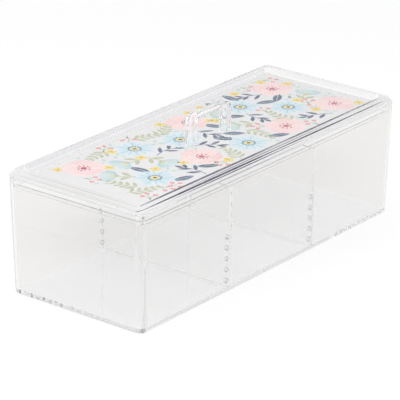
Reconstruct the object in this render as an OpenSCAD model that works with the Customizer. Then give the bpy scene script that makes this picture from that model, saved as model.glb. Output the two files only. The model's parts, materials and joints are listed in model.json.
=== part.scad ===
// Clear storage box with three compartments and a lift-off lid.
// The origin is the middle of the base, +Z is up and X runs along the length.

/* [Box] */
// Length over the rim of the box
box_l = 250; // [160:1:360]
// Width over the rim of the box
box_w = 102; // [70:1:180]
// Height of the box without its lid
box_h = 69.5; // [40:0.5:140]
// Thickness of the side walls
wall_t = 2.4; // [1.6:0.1:3.4]
// Thickness of the floor
floor_t = 2.6; // [1.6:0.1:5]
// How far each side leans in from the rim to the base
draft = 1.6; // [0.4:0.1:2.4]
// Radius of the upright corners at the rim
corner_r = 5.5; // [4.4:0.1:12]
// Chamfer round the base
base_chamfer = 0.8; // [0.3:0.1:1.2]

/* [Dividers] */
// Thickness of each divider
divider_t = 2.2; // [1.4:0.1:4]
// Gap between a divider's top edge and the lid's lip
divider_gap = 0.6; // [0.3:0.1:10]

/* [Lid] */
// Height of the upright band that sits flush with the box
band_h = 4.2; // [3:0.1:10]
// Rise of the bevel above the band
bevel_rise = 3.8; // [2:0.1:6]
// How far the bevel leans in
bevel_inset = 3.7; // [1.5:0.1:4.6]
// Width of the flat top of the rim
rim_w = 2; // [1.2:0.1:5]
// Depth of the sunk panel below the rim
recess_d = 4; // [2:0.1:5]
// How far the inner side of the rim leans in
recess_inset = 3.6; // [0.3:0.1:5]
// Radius of the sunk panel's corners at the rim
recess_r = 6; // [3:0.1:10]
// Thickness of the sunk panel
panel_t = 2; // [1.2:0.1:3]
// Depth of the lip that goes into the box
lip_h = 3; // [2:0.1:8]
// Thickness of the lip
lip_t = 1.8; // [1.2:0.1:3]
// Gap between the lip and the box walls
lip_gap = 0.4; // [0.3:0.05:1]

/* [Printed card] */
// Thickness of the card under the panel
card_t = 0.4; // [0.2:0.05:0.8]
// Gap between the card's edge and the lip
card_gap = 0.6; // [0.2:0.1:3]

/* [Handle] */
// Length of the handle
handle_l = 40; // [28:1:70]
// Depth of the handle from front to back
handle_w = 5.6; // [4:0.1:12]
// Height of the handle above the panel
handle_h = 19.2; // [14:0.1:40]
// Thickness of each leg
leg_t = 6.8; // [4:0.1:9]
// Thickness of the top bar
bar_t = 3.8; // [2.5:0.1:6]
// Radius of the outer top corners
handle_r = 6; // [2:0.1:9]
// Radius of the inner top corners
finger_r = 3; // [1:0.1:5]
// Radius of the upright edges of the legs
leg_r = 2; // [0.5:0.1:2.6]

/* [Hidden] */
$fn = 64;

clear_plastic = [0.90, 0.92, 0.93, 0.45];
handle_plastic = [0.86, 0.90, 0.92, 0.60];
card_white = [0.95, 0.94, 0.92];

min_r = 0.5;
reach = 10;

// Plan radii, each kept large enough for the slopes that meet it
plan_r = max(corner_r, bevel_inset + min_r, draft + base_chamfer + min_r);
cavity_r = max(plan_r - wall_t, draft + min_r);
sunk_r = max(recess_r, recess_inset + min_r);
lip_r = max(cavity_r - lip_gap, min_r);
pocket_r = max(lip_r - lip_t, min_r);
card_r = max(pocket_r - card_gap, min_r);

// Half sizes in plan, at the rim of the box
half_l = box_l / 2;
half_w = box_w / 2;
cavity_half_l = half_l - wall_t;
cavity_half_w = half_w - wall_t;

// How far the walls have leaned in at a level
function lean_in(z) = draft * (box_h - z) / box_h;

// Levels and plan sizes of the lid
band_top = box_h + band_h;
rim_top = band_top + bevel_rise;
panel_top = rim_top - recess_d;
panel_under = panel_top - panel_t;
lip_under = box_h - lip_h;
sunk_half_l = half_l - bevel_inset - rim_w;
sunk_half_w = half_w - bevel_inset - rim_w;
lip_half_l = cavity_half_l - lip_gap;
lip_half_w = cavity_half_w - lip_gap;
pocket_half_l = lip_half_l - lip_t;
pocket_half_w = lip_half_w - lip_t;
card_half_l = pocket_half_l - card_gap;
card_half_w = pocket_half_w - card_gap;

// The dividers share the length of the cavity in three and stop below the lip
divider_x = cavity_half_l / 3 + divider_t / 6;
divider_top = lip_under - divider_gap;

// Plan outline of a rectangle with round corners, from its half sizes
module round_outline(hl, hw, r) {
    square([2 * (hl - r), 2 * hw], center = true);
    square([2 * hl, 2 * (hw - r)], center = true);
    for (sx = [-1, 1], sy = [-1, 1])
        translate([sx * (hl - r), sy * (hw - r)])
            circle(r);
}

// Upright block on that outline, from one level to another
module round_block(hl, hw, r, z0, z1) {
    translate([0, 0, z0])
        linear_extrude(z1 - z0)
            round_outline(hl, hw, r);
}

// Slab across Y whose two ends lean from one reach along X to another
module leaning_slab(reach0, reach1, half_depth, h) {
    translate([0, half_depth, 0])
        rotate([90, 0, 0])
            linear_extrude(2 * half_depth)
                polygon([[-reach0, 0], [reach0, 0], [reach1, h], [-reach1, h]]);
}

// The same block with leaning sides: in0 and in1 say how far inside the outline it is at each level
module leaning_block(hl, hw, r, in0, in1, z0, z1) {
    h = z1 - z0;
    translate([0, 0, z0]) {
        leaning_slab(hl - in0, hl - in1, hw - r, h);
        rotate([0, 0, 90])
            leaning_slab(hw - in0, hw - in1, hl - r, h);
        for (sx = [-1, 1], sy = [-1, 1])
            translate([sx * (hl - r), sy * (hw - r), 0])
                cylinder(h = h, r1 = r - in0, r2 = r - in1);
    }
}

// Tub with leaning walls, a chamfered base and an open top
module box_body() {
    chamfer_in = lean_in(base_chamfer);
    brim = box_h + reach;
    color(clear_plastic)
        difference() {
            union() {
                leaning_block(half_l, half_w, plan_r, draft + base_chamfer, chamfer_in, 0, base_chamfer);
                leaning_block(half_l, half_w, plan_r, chamfer_in, 0, base_chamfer, box_h);
            }
            leaning_block(cavity_half_l, cavity_half_w, cavity_r,
                lean_in(floor_t), lean_in(brim), floor_t, brim);
        }
}

// Upright plate across the cavity, its ends leaning with the walls
module divider(x) {
    foot_w = cavity_half_w - lean_in(floor_t);
    top_w = cavity_half_w - lean_in(divider_top);
    color(clear_plastic)
        translate([x - divider_t / 2, 0, 0])
            rotate([90, 0, 90])
                linear_extrude(divider_t)
                    polygon([
                        [-foot_w, floor_t],
                        [foot_w, floor_t],
                        [top_w, divider_top],
                        [-top_w, divider_top]
                    ]);
}

module divider_left() {
    divider(-divider_x);
}

module divider_right() {
    divider(divider_x);
}

// Lid: flush band, bevelled rim, sunk panel and the lip that finds the box
module lid() {
    recess_grow = recess_inset * reach / recess_d;
    color(clear_plastic)
        difference() {
            union() {
                round_block(half_l, half_w, plan_r, box_h, band_top);
                leaning_block(half_l, half_w, plan_r, 0, bevel_inset, band_top, rim_top);
                round_block(lip_half_l, lip_half_w, lip_r, lip_under, band_top);
            }
            leaning_block(sunk_half_l, sunk_half_w, sunk_r,
                recess_inset, -recess_grow, panel_top, rim_top + reach);
            round_block(pocket_half_l, pocket_half_w, pocket_r, lip_under - reach, panel_under);
        }
}

// Printed card bonded under the panel, inside the lip
module print_card() {
    color(card_white)
        round_block(card_half_l, card_half_w, card_r, panel_under - card_t, panel_under);
}

// Front view of the handle: a bridge with round shoulders and a finger gap
module bridge_outline() {
    gap_half = handle_l / 2 - leg_t;
    gap_h = handle_h - bar_t;
    shoulder_r = min(handle_r, handle_l / 2 - min_r, handle_h - min_r);
    soffit_r = min(finger_r, gap_half - min_r, gap_h - min_r);
    difference() {
        union() {
            translate([-handle_l / 2, 0])
                square([handle_l, handle_h - shoulder_r]);
            translate([shoulder_r - handle_l / 2, 0])
                square([handle_l - 2 * shoulder_r, handle_h]);
            for (side = [-1, 1])
                translate([side * (handle_l / 2 - shoulder_r), handle_h - shoulder_r])
                    circle(shoulder_r);
        }
        translate([-gap_half, -reach])
            square([2 * gap_half, gap_h - soffit_r + reach]);
        translate([soffit_r - gap_half, -reach])
            square([2 * (gap_half - soffit_r), gap_h + reach]);
        for (side = [-1, 1])
            translate([side * (gap_half - soffit_r), gap_h - soffit_r])
                circle(soffit_r);
    }
}

// Handle that stands on the panel, its upright edges rounded
module lift_handle() {
    color(handle_plastic)
        translate([0, 0, panel_top])
            intersection() {
                translate([0, handle_w / 2, 0])
                    rotate([90, 0, 0])
                        linear_extrude(handle_w)
                            bridge_outline();
                round_block(handle_l / 2, handle_w / 2, min(leg_r, handle_w / 2 - min_r), 0, handle_h);
            }
}

box_body();
divider_left();
divider_right();
lid();
print_card();
lift_handle();
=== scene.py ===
"""Looks of a clear storage box with a lift-off lid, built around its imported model. Sizes are in metres."""
import json
import math
import random

import bmesh
import bpy
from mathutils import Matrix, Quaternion, Vector

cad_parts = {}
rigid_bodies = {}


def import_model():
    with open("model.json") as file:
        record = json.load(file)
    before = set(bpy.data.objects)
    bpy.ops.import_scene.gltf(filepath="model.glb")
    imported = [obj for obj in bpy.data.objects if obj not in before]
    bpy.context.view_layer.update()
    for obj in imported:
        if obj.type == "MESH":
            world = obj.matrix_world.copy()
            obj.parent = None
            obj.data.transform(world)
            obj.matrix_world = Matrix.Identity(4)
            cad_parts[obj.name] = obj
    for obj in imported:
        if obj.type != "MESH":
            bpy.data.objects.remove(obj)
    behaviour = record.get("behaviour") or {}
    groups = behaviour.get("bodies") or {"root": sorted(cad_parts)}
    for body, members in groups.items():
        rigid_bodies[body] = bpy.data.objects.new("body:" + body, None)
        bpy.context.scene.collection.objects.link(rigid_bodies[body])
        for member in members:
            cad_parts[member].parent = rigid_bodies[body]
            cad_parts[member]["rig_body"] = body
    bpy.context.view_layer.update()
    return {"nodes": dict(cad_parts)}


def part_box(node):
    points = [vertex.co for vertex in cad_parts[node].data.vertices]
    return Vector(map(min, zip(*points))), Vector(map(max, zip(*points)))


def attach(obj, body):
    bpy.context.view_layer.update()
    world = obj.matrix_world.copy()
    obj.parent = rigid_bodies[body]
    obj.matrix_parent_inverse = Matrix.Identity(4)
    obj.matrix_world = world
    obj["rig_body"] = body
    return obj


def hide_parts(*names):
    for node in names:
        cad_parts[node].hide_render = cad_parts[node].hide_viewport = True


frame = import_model()

MM = 0.001

# How fine the rounds are, and how the shading tells flat faces from edges
CORNER_STEPS = 14
EDGE_STEPS = 5
CRISP_ANGLE = math.radians(40)
FLAT_FACE_WEIGHT = 80

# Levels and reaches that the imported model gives
tub_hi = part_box("box_body")[1]
lid_lo, lid_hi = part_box("lid")
card_lo, card_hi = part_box("print_card")
handle_lo, handle_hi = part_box("lift_handle")
divider_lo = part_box("divider_left")[0]
half_l, half_w, tub_h = tub_hi
lip_under = lid_lo.z
rim_top = lid_hi.z
panel_top = handle_lo.z
panel_under = card_hi.z
floor_top = divider_lo.z

# Sizes inside the mouldings, as the solids have them
wall_t = 2.4 * MM
draft = 1.6 * MM
corner_r = 5.5 * MM
cavity_r = 3.1 * MM
bevel_rise = 3.8 * MM
bevel_inset = 3.7 * MM
rim_w = 2.0 * MM
recess_inset = 3.6 * MM
recess_r = 6.0 * MM
lip_gap = 0.4 * MM
lip_t = 1.8 * MM
lip_r = cavity_r - lip_gap
pocket_r = lip_r - lip_t
card_r = 0.5 * MM
panel_in = bevel_inset + rim_w + recess_inset
panel_half_l = half_l - panel_in
panel_half_w = half_w - panel_in
leg_t = 6.8 * MM
bar_t = 3.8 * MM
shoulder_r = 6.0 * MM
soffit_r = 3.0 * MM

# Upright corners inside the tub, a little sharper than the solid's
inner_r = 2.7 * MM

# Softened edges and the hairline gaps where pieces meet
foot_soft = 0.9 * MM
brim_soft = 0.05 * MM
floor_soft = 0.3 * MM
rim_soft = 0.3 * MM
seat_soft = 0.6 * MM
lip_soft = 0.3 * MM
handle_soft = 1.3 * MM
divider_soft = 0.3 * MM
hairline = 0.05 * MM

# How far bonded pieces reach into each other
CONTACT = 0.01 * MM

# Inner ring on each large flat face, which keeps the bend of the edges off it
cap_inset = 3.0 * MM
cap_r = 0.6 * MM

# Clear drops at the dividers' ends: how many in a row, half sizes and pitch
BEAD_COUNT = 5
bead_size = Vector((1.5, 1.5, 1.7)) * MM
bead_pitch = 7.0 * MM

# Level of the lowest drop in pitches, how much smaller the next is, and how far a drop stands out, as shares
bead_start = 0.6
bead_shrink = 0.06
bead_out = 0.55


def round_ring(reach_l, reach_w, r, z):
    """Points round a rectangle with round corners, at one level."""
    points = []
    for quarter, (side_x, side_y) in enumerate(((1, 1), (-1, 1), (-1, -1), (1, -1))):
        for step in range(CORNER_STEPS + 1):
            turn = math.pi / 2 * (quarter + step / CORNER_STEPS)
            x = side_x * (reach_l - r) + r * math.cos(turn)
            y = side_y * (reach_w - r) + r * math.sin(turn)
            points.append((x, y, z))
    return points


def curve_between(start, corner, end, steps):
    """Points of a soft bend from start to end that leans towards corner."""
    points = []
    for step in range(steps + 1):
        t = step / steps
        points.append(start * (1 - t) ** 2 + corner * 2 * t * (1 - t) + end * t ** 2)
    return points


def soft_profile(corners):
    """Profile through corners, each given as half length, half width, radius, level and edge softness."""
    places = [Vector(c[:4]) for c in corners]
    profile = [places[0]]
    for before, here, after, corner in zip(places, places[1:], places[2:], corners[1:]):
        back = before - here
        on = after - here
        start = here + back * (corner[4] / math.hypot(back[0], back[3]))
        end = here + on * (corner[4] / math.hypot(on[0], on[3]))
        profile += curve_between(start, here, end, EDGE_STEPS)
    return profile + [places[-1]]


def loft(name, rings):
    """Closed mesh through rings of equally many points, with a face across each end."""
    count = len(rings[0])
    points = [p for ring in rings for p in ring]
    faces = [tuple(range(count)), tuple(range(len(points) - count, len(points)))]
    for k in range(len(rings) - 1):
        for i in range(count):
            j = (i + 1) % count
            low = k * count
            high = low + count
            faces.append((low + i, low + j, high + j, high + i))
    mesh = bpy.data.meshes.new(name)
    mesh.from_pydata(points, [], faces)
    shape = bmesh.new()
    shape.from_mesh(mesh)
    bmesh.ops.recalc_face_normals(shape, faces=shape.faces)
    shape.to_mesh(mesh)
    shape.free()
    mesh.shade_smooth()
    mesh.set_sharp_from_angle(angle=CRISP_ANGLE)
    piece = bpy.data.objects.new(name, mesh)
    bpy.context.scene.collection.objects.link(piece)
    weighted = piece.modifiers.new("even normals", "WEIGHTED_NORMAL")
    weighted.weight = FLAT_FACE_WEIGHT
    weighted.keep_sharp = True
    return piece


def dress(piece, node, material):
    """Lets a piece stand for a node, on that node's body, with its finish."""
    piece.data.materials.append(material)
    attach(piece, frame["nodes"][node]["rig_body"])
    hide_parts(node)


# Node trees


def new_material(name):
    """Material with an empty node tree and its output node."""
    material = bpy.data.materials.new(name)
    material.use_nodes = True
    material.node_tree.nodes.clear()
    return material, material.node_tree, material.node_tree.nodes.new("ShaderNodeOutputMaterial")


def plug(tree, socket, value):
    """Gives a socket a value, or links it where the value is another node's output."""
    if isinstance(value, bpy.types.NodeSocket):
        tree.links.new(value, socket)
    else:
        socket.default_value = value


def add_node(tree, kind, settings=None, **inputs):
    """Node of one kind: settings go to its own fields, inputs to its sockets as values or links."""
    node = tree.nodes.new("ShaderNode" + kind)
    for field, value in (settings or {}).items():
        setattr(node, field, value)
    for socket_name, value in inputs.items():
        plug(tree, node.inputs[socket_name.replace("_", " ")], value)
    return node


# Places of the colour sockets on a Mix node
MIX_FIRST = 6
MIX_SECOND = 7
MIX_RESULT = 2


def blend_colours(tree, share, first, second):
    """Colour that goes from the first to the second as share goes from 0 to 1."""
    node = add_node(tree, "Mix", {"data_type": "RGBA"}, Factor=share)
    plug(tree, node.inputs[MIX_FIRST], first)
    plug(tree, node.inputs[MIX_SECOND], second)
    return node.outputs[MIX_RESULT]


def clear_plastic(name, tint, clarity=1.0):
    """Polished moulding with faint flow waves and smudges: a clarity below 1 makes it a little milky."""
    material, tree, output = new_material(name)
    place = add_node(tree, "TexCoord").outputs["Object"]
    flow = add_node(tree, "TexNoise", Vector=place, Scale=28.0, Detail=1.0)
    waves = add_node(tree, "Bump", Strength=0.02, Distance=0.0004, Height=flow.outputs["Fac"])
    smudge = add_node(tree, "TexNoise", Vector=place, Scale=60.0, Detail=3.0)
    rough = add_node(tree, "MapRange", Value=smudge.outputs["Fac"])
    rough.inputs["From Min"].default_value = 0.55
    rough.inputs["From Max"].default_value = 0.85
    rough.inputs["To Max"].default_value = 0.05
    glass = add_node(tree, "BsdfPrincipled", IOR=1.5, Base_Color=(*tint, 1), Transmission_Weight=clarity)
    tree.links.new(rough.outputs["Result"], glass.inputs["Roughness"])
    tree.links.new(waves.outputs["Normal"], glass.inputs["Normal"])
    # Soft light and light from the lamps go straight through
    passing = add_node(tree, "BsdfTransparent", Color=(0.985, 0.985, 0.99, 1))
    path = add_node(tree, "LightPath")
    soft = add_node(tree, "MixShader", Fac=path.outputs["Is Diffuse Ray"])
    tree.links.new(glass.outputs[0], soft.inputs[1])
    tree.links.new(passing.outputs[0], soft.inputs[2])
    lamps = add_node(tree, "MixShader", Fac=path.outputs["Is Shadow Ray"])
    tree.links.new(soft.outputs[0], lamps.inputs[1])
    tree.links.new(passing.outputs[0], lamps.inputs[2])
    tree.links.new(lamps.outputs[0], output.inputs["Surface"])
    return material


def card_paper(name):
    """White card with a faint fibre and a little warmth that comes and goes."""
    material, tree, output = new_material(name)
    place = add_node(tree, "TexCoord").outputs["Object"]
    cloud = add_node(tree, "TexNoise", Vector=place, Scale=90.0, Detail=4.0)
    tone = blend_colours(tree, cloud.outputs["Fac"], (0.83, 0.83, 0.82, 1), (0.79, 0.79, 0.79, 1))
    fibre = add_node(tree, "TexNoise", Vector=place, Scale=1800.0, Detail=2.0)
    bump = add_node(tree, "Bump", Strength=0.06, Distance=0.0001, Height=fibre.outputs["Fac"])
    paper = add_node(tree, "BsdfPrincipled", Base_Color=tone, Roughness=0.6, Normal=bump.outputs["Normal"])
    tree.links.new(paper.outputs[0], output.inputs["Surface"])
    return material


# The mouldings


def lean(z):
    """How far the tub's walls lean in at a level."""
    return draft * (tub_h - z) / tub_h


def inset_corner(inset, r, z, soft=0.0):
    """Profile corner at a distance inside the tub's rim."""
    return half_l - inset, half_w - inset, r, z, soft


def make_tub(material, lightened_floor_material):
    """Tub with leaning walls, whose floor and foot have a clearer tint than its walls: painted light that
    lightens the shaded floor seen through them.
    """
    floor_in = wall_t + lean(floor_top)
    profile = soft_profile([
        inset_corner(draft + cap_inset, cap_r, 0),
        inset_corner(draft, corner_r, 0, foot_soft),
        inset_corner(0, corner_r, tub_h, brim_soft),
        inset_corner(wall_t, inner_r, tub_h, brim_soft),
        inset_corner(floor_in, inner_r, floor_top, floor_soft),
        inset_corner(floor_in + cap_inset, cap_r, floor_top),
    ])
    tub = loft("tub", [round_ring(*p) for p in profile])
    dress(tub, "box_body", material)
    tub.data.materials.append(lightened_floor_material)
    for face in tub.data.polygons:
        if face.center.z < floor_top + floor_soft:
            face.material_index = 1


def make_lid(material):
    """Lid in one ring from its sunk panel over the rim and the lip to the underside of the panel."""
    rim_in = bevel_inset + rim_w
    lip_in = wall_t + lip_gap
    pocket_in = lip_in + lip_t
    foot_r = recess_r - recess_inset
    seat = tub_h + hairline
    profile = soft_profile([
        inset_corner(panel_in + cap_inset, cap_r, panel_top),
        inset_corner(panel_in, foot_r, panel_top, rim_soft),
        inset_corner(rim_in, recess_r, rim_top, rim_soft),
        inset_corner(bevel_inset, corner_r - bevel_inset, rim_top, rim_soft),
        inset_corner(0, corner_r, rim_top - bevel_rise, rim_soft),
        inset_corner(0, corner_r, seat, seat_soft),
        inset_corner(lip_in, lip_r, seat, lip_soft),
        inset_corner(lip_in, lip_r, lip_under, lip_soft),
        inset_corner(pocket_in, pocket_r, lip_under, lip_soft),
        inset_corner(pocket_in, pocket_r, panel_under, lip_soft),
        inset_corner(pocket_in + cap_inset, cap_r, panel_under),
    ])
    lid = loft("lid_shell", [round_ring(*p) for p in profile])
    dress(lid, "lid", material)


def soft_edge_steps(width, soft):
    """Places across a plate, each with how far its outline is drawn in there, for round edges."""
    rounds = [math.pi / 2 * k / EDGE_STEPS for k in range(EDGE_STEPS + 1)]
    near = [(-width / 2 + soft * (1 - math.cos(a)), soft * (1 - math.sin(a))) for a in rounds]
    return near + [(-place, drawn) for place, drawn in reversed(near)]


def make_divider(side, material):
    """Plate across the tub with a rounded top edge, its ends leaning with the walls."""
    lo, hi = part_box("divider_" + side)
    middle = (lo.x + hi.x) / 2
    low = lo.z - CONTACT
    foot_w = half_w - wall_t - lean(low) + CONTACT
    rings = []
    for across, drawn in soft_edge_steps(hi.x - lo.x, divider_soft):
        high = hi.z - drawn
        top_w = half_w - wall_t - lean(high) + CONTACT
        outline = ((-foot_w, low), (foot_w, low), (top_w, high), (-top_w, high))
        rings.append([(middle + across, y, z) for y, z in outline])
    divider = loft("divider_plate_" + side, rings)
    dress(divider, "divider_" + side, material)


def make_beads(side, material):
    """Clear drops in the corners between a divider's outer face and the long walls."""
    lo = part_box("divider_" + side)[0]
    shape = bmesh.new()
    for end in (-1, 1):
        for k in range(BEAD_COUNT):
            z = lo.z + bead_pitch * (k + bead_start)
            y = end * (half_w - wall_t - lean(z))
            drop = bmesh.ops.create_icosphere(shape, subdivisions=3, radius=1.0)["verts"]
            size = bead_size * (1 - bead_shrink * (k % 3))
            place = Vector((lo.x - size.x * bead_out, y - end * size.y * bead_out, z))
            bmesh.ops.scale(shape, vec=size, verts=drop)
            bmesh.ops.translate(shape, vec=place, verts=drop)
    mesh = bpy.data.meshes.new("painted_blue_drops_" + side)
    shape.to_mesh(mesh)
    shape.free()
    mesh.shade_smooth()
    mesh.materials.append(material)
    beads = bpy.data.objects.new(mesh.name, mesh)
    bpy.context.scene.collection.objects.link(beads)
    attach(beads, frame["nodes"]["divider_" + side]["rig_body"])


def make_handle(material):
    """Bridge handle with round shoulders and a finger gap, all its edges rounded."""
    reach = handle_hi.x
    foot = handle_lo.z - CONTACT
    top = handle_hi.z
    gap_half = reach - leg_t
    gap_top = top - bar_t

    def arc(x, z, r, first, last):
        turns = [first + (last - first) * k / CORNER_STEPS for k in range(CORNER_STEPS + 1)]
        return [(x + r * math.cos(math.radians(t)), z + r * math.sin(math.radians(t))) for t in turns]

    def outline(drawn):
        outer = shoulder_r - drawn
        inner = soffit_r + drawn
        points = [(reach - drawn, foot)]
        points += arc(reach - shoulder_r, top - shoulder_r, outer, 0, 90)
        points += arc(shoulder_r - reach, top - shoulder_r, outer, 90, 180)
        points += [(drawn - reach, foot), (-gap_half - drawn, foot)]
        points += arc(soffit_r - gap_half, gap_top - soffit_r, inner, 180, 90)
        points += arc(gap_half - soffit_r, gap_top - soffit_r, inner, 90, 0)
        return points + [(gap_half + drawn, foot)]

    rings = []
    for across, drawn in soft_edge_steps(handle_hi.y - handle_lo.y, handle_soft):
        rings.append([(x, across, z) for x, z in outline(drawn)])
    handle = loft("handle_bridge", rings)
    dress(handle, "lift_handle", material)


def make_card(material):
    """White card under the panel, and gives back the level of its top."""
    top = card_hi.z + CONTACT
    levels = (card_lo.z, top)
    card = loft("card_sheet", [round_ring(card_hi.x, card_hi.y, card_r, z) for z in levels])
    card.data.polygons.foreach_set("use_smooth", [False] * len(card.data.polygons))
    dress(card, "print_card", material)
    return top


# The printed flowers: flat shapes of ink on the card, each point with its own colour

INK_STEP = 0.008 * MM
PETAL_STEP = 0.0005 * MM
PETAL_ROWS = 9
PETAL_END = 0.02
PRINT_SEED = 7
PLACE_TRIES = 240

# White margins between the panel's edges and the flowers
near_end_margin = 13.0 * MM
far_end_margin = 2.0 * MM
near_side_margin = 3.0 * MM
far_side_margin = 1.0 * MM


def ink_colour(*screen):
    """A screen colour of 0 to 255, none of it near black, as the light values that shaders use."""
    return tuple(((level / 255 + 0.055) / 1.055) ** 2.4 for level in screen)


blush = ink_colour(253, 229, 224)
rose = ink_colour(246, 198, 200)
coral = ink_colour(236, 132, 138)
crimson = ink_colour(182, 66, 98)
sky = ink_colour(226, 240, 244)
powder = ink_colour(192, 222, 232)
teal = ink_colour(140, 194, 207)
navy = ink_colour(42, 62, 98)
slate = ink_colour(98, 116, 142)
# Painted shade: the dark violet and the grey of the streaks under the rim
painted_shade_violet = ink_colour(64, 58, 80)
painted_shade_grey = ink_colour(206, 203, 198)
sage = ink_colour(208, 213, 182)
olive = ink_colour(176, 184, 142)
mint = ink_colour(198, 225, 212)
butter = ink_colour(249, 220, 92)
amber = ink_colour(242, 204, 70)


def mix(first, second, share):
    """Colour between two others."""
    return tuple(a + (b - a) * share for a, b in zip(first, second))


class Print:
    """Collects the ink shapes of one sheet."""

    def __init__(self, level, outwards):
        self.level = level
        self.outwards = outwards
        self.points = []
        self.faces = []
        self.colours = []

    def strip(self, rows, layer):
        """Quads between rows of points, where a row holds (place, colour) pairs across the shape."""
        start = len(self.points)
        across = len(rows[0])
        for row in rows:
            for place, colour in row:
                self.points.append((place.x, place.y, self.level + self.outwards * (INK_STEP + layer)))
                self.colours.append((*colour, 1.0))
        for k in range(len(rows) - 1):
            for i in range(across - 1):
                low = start + k * across + i
                self.faces.append((low, low + 1, low + across + 1, low + across))

    def petal(self, base, heading, length, width, root, tip, layer, swell=1.0, blunt=0.6):
        """Petal or leaf from its base: swell moves its widest place outwards, blunt rounds its ends."""
        along = Vector((math.cos(heading), math.sin(heading)))
        side = Vector((-along.y, along.x))
        rows = []
        for k in range(PETAL_ROWS):
            t = PETAL_END + (1 - 2 * PETAL_END) * k / (PETAL_ROWS - 1)
            middle = base + along * (length * t)
            half = side * (width / 2 * math.sin(math.pi * t ** swell) ** blunt)
            colour = mix(root, tip, t)
            edge = mix(colour, tip, 0.5)
            rows.append([(middle + half, edge), (middle, colour), (middle - half, edge)])
        self.strip(rows, layer)

    def dot(self, centre, radius, colour, layer):
        """Round spot of ink."""
        start = centre - Vector((radius, 0))
        self.petal(start, 0, 2 * radius, 2 * radius, colour, colour, layer, 1.0, 0.55)

    def stem(self, start, bend, end, width, colour, layer):
        """Thin curved line of ink, and gives back its points."""
        rows = []
        line = curve_between(start, bend, end, PETAL_ROWS)
        for k, place in enumerate(line):
            ahead = line[min(k + 1, PETAL_ROWS)] - line[max(k - 1, 0)]
            side = Vector((-ahead.y, ahead.x)).normalized() * (width / 2)
            rows.append([(place + side, colour), (place - side, colour)])
        self.strip(rows, layer)
        return line


def step_to(heading, length):
    """Step of a length in a direction on the card."""
    return Vector((math.cos(heading), math.sin(heading))) * length


def blossom(ink, rng, centre, size):
    """Five broad petals, pink at their edges, round a tuft of crimson threads."""
    turn = rng.uniform(0, math.tau)
    for k in range(5):
        heading = turn + k * math.tau / 5 + rng.uniform(-0.08, 0.08)
        length = size * rng.uniform(0.9, 1.0)
        layer = INK_STEP * 2 + PETAL_STEP * k
        tip = mix(blush, rose, 0.2 + 0.35 * (k % 2))
        ink.petal(centre, heading, length, size * 0.96, blush, tip, layer, 1.7, 0.5)
        for spread in (-0.3, 0.0, 0.3):
            start = centre + step_to(heading + spread, size * 0.3)
            end = centre + step_to(heading + spread * 0.9, length * 0.72)
            ink.stem(start, start.lerp(end, 0.5), end, size * 0.03, rose, INK_STEP * 3)
    for k in range(9):
        heading = turn + k * math.tau / 9
        far = centre + step_to(heading, size * rng.uniform(0.2, 0.3))
        ink.stem(centre, centre.lerp(far, 0.5), far, size * 0.035, coral, INK_STEP * 3)
        ink.dot(far, size * 0.05, crimson, INK_STEP * 4)
    ink.dot(centre, size * 0.13, crimson, INK_STEP * 4)


def daisy(ink, rng, centre, size):
    """Twelve pale blue petals, with gaps between them, round a yellow eye with navy flecks."""
    count = 12
    turn = rng.uniform(0, math.tau)
    for k in range(count):
        heading = turn + k * math.tau / count
        length = size * rng.uniform(0.86, 1.0)
        layer = INK_STEP * 2 + PETAL_STEP * k
        tip = mix(sky, powder, 0.4 * (k % 2))
        ink.petal(centre, heading, length, size * 0.36, powder, tip, layer, 1.6, 0.6)
        end = centre + step_to(heading, length * 0.8)
        ink.stem(centre, centre.lerp(end, 0.5), end, size * 0.025, teal, INK_STEP * 3)
    for k in range(count):
        heading = turn + (k + 0.5) * math.tau / count
        ink.dot(centre + step_to(heading, size * 0.27), size * 0.05, navy, INK_STEP * 4)
    ink.dot(centre, size * 0.18, butter, INK_STEP * 4)
    ink.dot(centre, size * 0.09, navy, INK_STEP * 5)


def bell(ink, rng, centre, size):
    """Teal flower seen from the side: a fan of petals on a stem with two leaves."""
    heading = rng.uniform(0, math.tau)
    foot = centre - step_to(heading, size)
    cup = centre - step_to(heading, size * 0.1)
    ink.stem(foot, centre + step_to(heading + 1.6, size * 0.15), cup, size * 0.06, olive, 0)
    for k, spread in enumerate((-0.8, 0.8, -0.42, 0.42, 0.0)):
        shade = mix(teal, powder, 0.22 * k)
        layer = INK_STEP * 2 + PETAL_STEP * k
        tip = mix(shade, sky, 0.5)
        ink.petal(cup, heading + spread, size * 0.95, size * 0.44, shade, tip, layer, 1.4, 0.6)
        end = cup + step_to(heading + spread, size * 0.75)
        ink.stem(cup, cup.lerp(end, 0.5), end, size * 0.03, butter, INK_STEP * 3)
    base = cup - step_to(heading, size * 0.06)
    ink.petal(base, heading, size * 0.3, size * 0.36, olive, sage, INK_STEP * 4, 0.8)
    for side in (-1, 1):
        ink.petal(foot.lerp(cup, 0.3), heading + side * 0.8, size * 0.7, size * 0.24, sage, olive, INK_STEP)


def sprig(ink, rng, centre, size):
    """Curved stem with slim navy leaves in turn on both sides."""
    heading = rng.uniform(0, math.tau)
    start = centre - step_to(heading, size)
    end = centre + step_to(heading, size * 0.5)
    bend = centre + step_to(heading + math.pi / 2, size * rng.choice((-0.35, 0.35)))
    line = ink.stem(start, bend, end, size * 0.06, slate, 0)
    for k, place in enumerate(line[2::2] + [end]):
        lean_out = heading + (0.8, -0.8, 0.7, -0.7, 0.0)[k]
        length = size * (0.85 - 0.06 * k)
        layer = INK_STEP + PETAL_STEP * k
        ink.petal(place, lean_out, length, size * 0.24, navy, mix(navy, slate, 0.5), layer, 1.0, 0.9)


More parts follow.
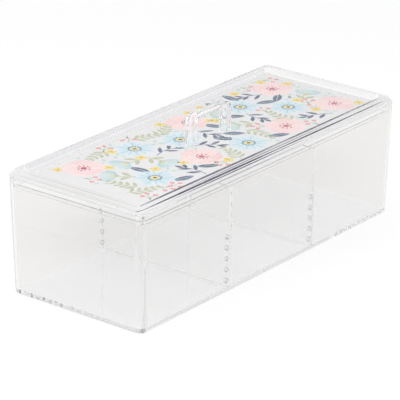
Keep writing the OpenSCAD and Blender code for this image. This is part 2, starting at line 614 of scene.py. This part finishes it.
def fern(ink, rng, centre, size):
    """Sage frond of paired leaflets that shorten towards its tip."""
    heading = rng.uniform(0, math.tau)
    start = centre - step_to(heading, size)
    end = centre + step_to(heading, size)
    bend = centre + step_to(heading + math.pi / 2, size * rng.choice((-0.3, 0.3)))
    line = ink.stem(start, bend, end, size * 0.05, olive, 0)
    for k, place in enumerate(line[1::2]):
        length = size * (0.75 - 0.11 * k)
        layer = INK_STEP + PETAL_STEP * k
        for side in (-1, 1):
            ink.petal(place, heading + side * 0.85, length, size * 0.24, sage, olive, layer, 1.0, 0.8)


def leaf(ink, rng, centre, size):
    """Single long navy leaf with a pale rib."""
    heading = rng.uniform(0, math.tau)
    start = centre - step_to(heading, size)
    end = centre + step_to(heading, size)
    ink.petal(start, heading, size * 2, size * 0.75, navy, mix(navy, slate, 0.4), INK_STEP, 1.0, 0.8)
    ink.stem(start, centre, end, size * 0.06, powder, INK_STEP * 2)


def buttercup(ink, rng, centre, size):
    """Small yellow flower of four petals."""
    turn = rng.uniform(0, math.tau)
    for k in range(4):
        heading = turn + k * math.pi / 2
        ink.petal(centre, heading, size, size * 0.8, amber, butter, INK_STEP * 2 + PETAL_STEP * k, 1.5, 0.6)
    ink.dot(centre, size * 0.22, olive, INK_STEP * 3)


def berries(ink, rng, centre, size):
    """Three coral berries on thin stalks."""
    heading = rng.uniform(0, math.tau)
    foot = centre - step_to(heading, size)
    for spread, reach in ((-0.5, 1.5), (0.1, 1.9), (0.6, 1.4)):
        end = foot + step_to(heading + spread, size * reach)
        ink.stem(foot, foot + step_to(heading, size * 0.7), end, size * 0.1, olive, 0)
        ink.dot(end, size * 0.3, coral, INK_STEP * 2)
        ink.dot(end + Vector((size * 0.07, size * 0.07)), size * 0.09, blush, INK_STEP * 3)


def leaflets(ink, rng, centre, size):
    """Three loose mint leaves."""
    turn = rng.uniform(0, math.tau)
    dark_mint = mix(mint, teal, 0.35)
    for k in range(3):
        heading = turn + k * math.tau / 3
        start = centre + step_to(heading, size * 0.2)
        ink.petal(start, heading, size * 0.9, size * 0.45, mint, dark_mint, INK_STEP, 1.0, 0.8)


def open_place(rng, placed, size):
    """The roomiest of many random places on the card for a flower of this size."""
    best, best_gap = None, -1.0
    for _ in range(PLACE_TRIES):
        x = rng.uniform(near_end_margin + size - panel_half_l, panel_half_l - size - far_end_margin)
        y = rng.uniform(near_side_margin + size - panel_half_w, panel_half_w - size - far_side_margin)
        place = Vector((x, y))
        gap = min([(place - other).length - size - other_size for other, other_size in placed], default=1.0)
        if gap > best_gap:
            best, best_gap = place, gap
    placed.append((best, size))
    return best


def trim_to_panel(mesh):
    """Cuts the flowers off where the panel ends and the rim begins."""
    shape = bmesh.new()
    shape.from_mesh(mesh)
    for reach, out in ((panel_half_l, Vector((1, 0, 0))), (panel_half_w, Vector((0, 1, 0)))):
        for side in (out, -out):
            parts = shape.verts[:] + shape.edges[:] + shape.faces[:]
            edge = side * reach
            bmesh.ops.bisect_plane(shape, geom=parts, plane_co=edge, plane_no=side, clear_outer=True)
    shape.to_mesh(mesh)
    shape.free()


# Painted shade: slim dark streaks of ink under the near side's rim, which the rim shows as its dark lines:
# place across, middle along, length and width in millimetres
painted_shade_streaks = (
    (-43.35, -52, 140, 2.0), (-43.35, 48, 100, 1.4), (-43.35, 98, 42, 0.9),
    (-41.3, -10, 150, 0.7), (-45.45, -30, 130, 0.85),
)

# Painted shade: slim grey streaks of ink under the near end's rim, which the rim shows as its grey lines,
# given the same way
painted_end_streaks = ((-113.8, 0, 84, 0.8), (-118.4, 0, 92, 0.7), (-116.6, 0, 80, 0.4))


def paint_rim_streaks(ink):
    """Painted shade: slim streaks of ink along the card's near side and near end, which the rim shows as
    dark and grey lines.
    """
    for y, middle, length, width in painted_shade_streaks:
        start = Vector((middle - length / 2, y)) * MM
        ink.petal(start, 0, length * MM, width * MM, painted_shade_violet, painted_shade_violet, INK_STEP, 1.0, 0.7)
    for x, middle, length, width in painted_end_streaks:
        start = Vector((x, middle - length / 2)) * MM
        ink.petal(start, math.pi / 2, length * MM, width * MM, painted_shade_grey, painted_shade_grey, INK_STEP, 1.0, 0.3)


def ink_material(name):
    """Printed ink whose strength clouds a little, as in a wash of watercolour."""
    material, tree, output = new_material(name)
    colour = add_node(tree, "Attribute", {"attribute_name": "ink"}).outputs["Color"]
    place = add_node(tree, "TexCoord").outputs["Object"]
    cloud = add_node(tree, "TexNoise", Vector=place, Scale=260.0, Detail=4.0)
    share = add_node(tree, "MapRange", Value=cloud.outputs["Fac"])
    share.inputs["From Min"].default_value = 0.35
    share.inputs["From Max"].default_value = 0.75
    share.inputs["To Max"].default_value = 0.16
    wash = blend_colours(tree, share.outputs["Result"], colour, (0.9, 0.9, 0.9, 1))
    paper = add_node(tree, "BsdfPrincipled", Base_Color=wash, Roughness=0.5)
    tree.links.new(paper.outputs[0], output.inputs["Surface"])
    return material


def lay_ink(name, ink, material):
    """Piece on the lid that holds the collected ink shapes, and gives back its mesh."""
    mesh = bpy.data.meshes.new(name)
    mesh.from_pydata(ink.points, [], ink.faces)
    colours = mesh.color_attributes.new("ink", "FLOAT_COLOR", "POINT")
    colours.data.foreach_set("color", [value for colour in ink.colours for value in colour])
    mesh.materials.append(material)
    piece = bpy.data.objects.new(name, mesh)
    bpy.context.scene.collection.objects.link(piece)
    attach(piece, "lid")
    return mesh


# What the print holds, large motifs first: how each is drawn, its size in millimetres and their number
motifs = (
    (blossom, 14, 6), (daisy, 14, 6), (bell, 12, 6), (sprig, 11, 7), (fern, 10, 8), (leaf, 7.5, 12),
    (berries, 5, 14), (leaflets, 4.5, 18), (buttercup, 3.8, 18),
)


def make_print(name, level, outwards, material):
    """The same flowers on one face of the card, stacked outwards from it: 1 is up and -1 is down."""
    rng = random.Random(PRINT_SEED)
    ink = Print(level, outwards)
    placed = []
    for draw, size, count in motifs:
        for _ in range(count):
            draw(ink, rng, open_place(rng, placed, size * MM), size * MM)
    trim_to_panel(lay_ink(name, ink, material))


def make_painted_rim_streaks(level, material):
    """The painted shade streaks under the rim, on the card's upper face alone."""
    ink = Print(level, 1)
    paint_rim_streaks(ink)
    lay_ink("painted_shade_print", ink, material)


tub_plastic = clear_plastic("clear moulding", tint=(0.925, 0.922, 0.913))
# Painted light: the floor plate's clearer tint lightens the shade under the box that shows through it
lightened_floor_plastic = clear_plastic("clear floor, lightened", tint=(0.99, 0.99, 0.99))
make_tub(tub_plastic, lightened_floor_plastic)
divider_plastic = clear_plastic("clear sheet", tint=(0.985, 0.985, 0.983))
# Painted refraction colour: the drops' blue tint stands in for the blue fringes that refraction shows at the
# dividers' ends
painted_blue_drop_plastic = clear_plastic("clear drops, painted blue", tint=(0.92, 0.945, 1.0))
for side in ("left", "right"):
    make_divider(side, divider_plastic)
    make_beads(side, painted_blue_drop_plastic)
make_lid(clear_plastic("clear lid", tint=(0.978, 0.978, 0.976)))
make_handle(clear_plastic("clear handle", tint=(0.99, 0.99, 0.99), clarity=0.86))
card_top = make_card(card_paper("white card"))
printed_ink = ink_material("printed ink")
make_print("flower_print", card_top, 1, printed_ink)
make_print("flower_print_below", card_lo.z, -1, printed_ink)
make_painted_rim_streaks(card_top, printed_ink)


# Studio: floor, light and camera

# The floor, with how light it is as a surface and how light it shows
floor_reach = 6.0
floor_drop = 0.2 * MM
floor_tone = (0.30, 0.30, 0.30, 1)
floor_shown = 0.725

# How strong the surroundings are as light on things and as they show
world_light = 0.50
world_shown = 1.0

# The side of the surroundings that is a little dim, and the angles from its middle where it fades to white
dim_heading = (1, 0, 0)
dim_inner = math.radians(41)
dim_outer = math.radians(75)
dim_colour = (0.83, 0.83, 0.85, 1)

# The camera, at the photograph's angle
camera_azimuth = math.radians(-51.88)
camera_elevation = math.radians(21.63)
camera_roll = math.radians(0.42)
camera_target = Vector((-0.01555, -0.0064, 0.0389))
camera_distance = 1.5975
camera_lens = 239.4
camera_sensor = 36.0

# Clear walls behind clear walls take many bounces
CLEAR_BOUNCES = 128
SHADOW_WALLS = 32


def seen_level(tree, lighting, shown):
    """Strength that is one level as light on things and another to the camera, gloss and clear plastic."""
    path = add_node(tree, "LightPath")
    share = path.outputs["Is Camera Ray"]
    for kind in ("Is Glossy Ray", "Is Transmission Ray"):
        either = add_node(tree, "Math", {"operation": "MAXIMUM"})
        tree.links.new(share, either.inputs[0])
        tree.links.new(path.outputs[kind], either.inputs[1])
        share = either.outputs[0]
    level = add_node(tree, "MapRange", Value=share)
    level.inputs["To Min"].default_value = lighting
    level.inputs["To Max"].default_value = shown
    return level.outputs["Result"]


def make_floor():
    """Pale floor that shows nearly white and keeps the object's shadow."""
    signs = ((-1, -1), (1, -1), (1, 1), (-1, 1))
    mesh = bpy.data.meshes.new("floor")
    mesh.from_pydata([(x * floor_reach, y * floor_reach, 0) for x, y in signs], [], [(0, 1, 2, 3)])
    floor = bpy.data.objects.new("floor", mesh)
    bpy.context.scene.collection.objects.link(floor)
    floor.location.z = -floor_drop
    material, tree, output = new_material("pale floor")
    matte = add_node(tree, "BsdfDiffuse", Color=floor_tone)
    glow = add_node(tree, "Emission", Strength=seen_level(tree, 0.0, floor_shown))
    both = add_node(tree, "AddShader")
    tree.links.new(matte.outputs[0], both.inputs[0])
    tree.links.new(glow.outputs[0], both.inputs[1])
    tree.links.new(both.outputs[0], output.inputs["Surface"])
    mesh.materials.append(material)


def make_world():
    """White surroundings with one cool dim side, which the clear edges show."""
    world = bpy.data.worlds.new("studio")
    bpy.context.scene.world = world
    world.use_nodes = True
    tree = world.node_tree
    facing = add_node(tree, "VectorMath", {"operation": "DOT_PRODUCT"})
    tree.links.new(add_node(tree, "TexCoord").outputs["Generated"], facing.inputs[0])
    facing.inputs[1].default_value = dim_heading
    share = add_node(tree, "MapRange", {"interpolation_type": "SMOOTHSTEP"}, Value=facing.outputs["Value"])
    share.inputs["From Min"].default_value = math.cos(dim_outer)
    share.inputs["From Max"].default_value = math.cos(dim_inner)
    tone = blend_colours(tree, share.outputs["Result"], (1, 1, 1, 1), dim_colour)
    background = tree.nodes["Background"]
    tree.links.new(tone, background.inputs["Color"])
    tree.links.new(seen_level(tree, world_light, world_shown), background.inputs["Strength"])


def make_softbox(name, place, aim, size, power):
    """Soft lamp that lights the object but doesn't show in it."""
    lamp = bpy.data.lights.new(name, "AREA")
    lamp.shape = "RECTANGLE"
    lamp.size, lamp.size_y = size
    lamp.energy = power
    softbox = bpy.data.objects.new(name, lamp)
    bpy.context.scene.collection.objects.link(softbox)
    softbox.location = place
    softbox.rotation_mode = "QUATERNION"
    softbox.rotation_quaternion = (Vector(aim) - Vector(place)).to_track_quat("-Z", "Y")
    softbox.visible_camera = False
    softbox.visible_glossy = False
    softbox.visible_transmission = False


def make_camera():
    """Camera that looks at its target from an azimuth and elevation, with a slight roll."""
    back = Vector((
        math.sin(camera_azimuth) * math.cos(camera_elevation),
        -math.cos(camera_azimuth) * math.cos(camera_elevation),
        math.sin(camera_elevation),
    ))
    data = bpy.data.cameras.new("camera")
    data.sensor_width = camera_sensor
    data.lens = camera_lens
    camera = bpy.data.objects.new("camera", data)
    bpy.context.scene.collection.objects.link(camera)
    camera.location = camera_target + back * camera_distance
    camera.rotation_mode = "QUATERNION"
    upright = (-back).to_track_quat("-Z", "Y")
    camera.rotation_quaternion = upright @ Quaternion((0, 0, 1), camera_roll)
    data.clip_start = 0.05
    data.clip_end = 50.0
    bpy.context.scene.camera = camera


make_floor()
make_world()
make_softbox("overhead softbox", place=(0.1, 0.2, 1.8), aim=(0, 0, 0), size=(1.6, 1.6), power=3)
make_softbox("front softbox", place=(-1.2, -0.95, 1.2), aim=(0, 0, 0.04), size=(0.9, 0.9), power=27)
make_softbox("back softbox", place=(-0.48, 0.85, 1.3), aim=(0, 0, 0.05), size=(0.6, 0.6), power=2.5)
make_camera()

scene = bpy.context.scene
scene.view_settings.view_transform = "Standard"
scene.cycles.max_bounces = CLEAR_BOUNCES
scene.cycles.glossy_bounces = CLEAR_BOUNCES
scene.cycles.transmission_bounces = CLEAR_BOUNCES
scene.cycles.transparent_max_bounces = SHADOW_WALLS
scene.cycles.denoising_input_passes = "RGB_ALBEDO"
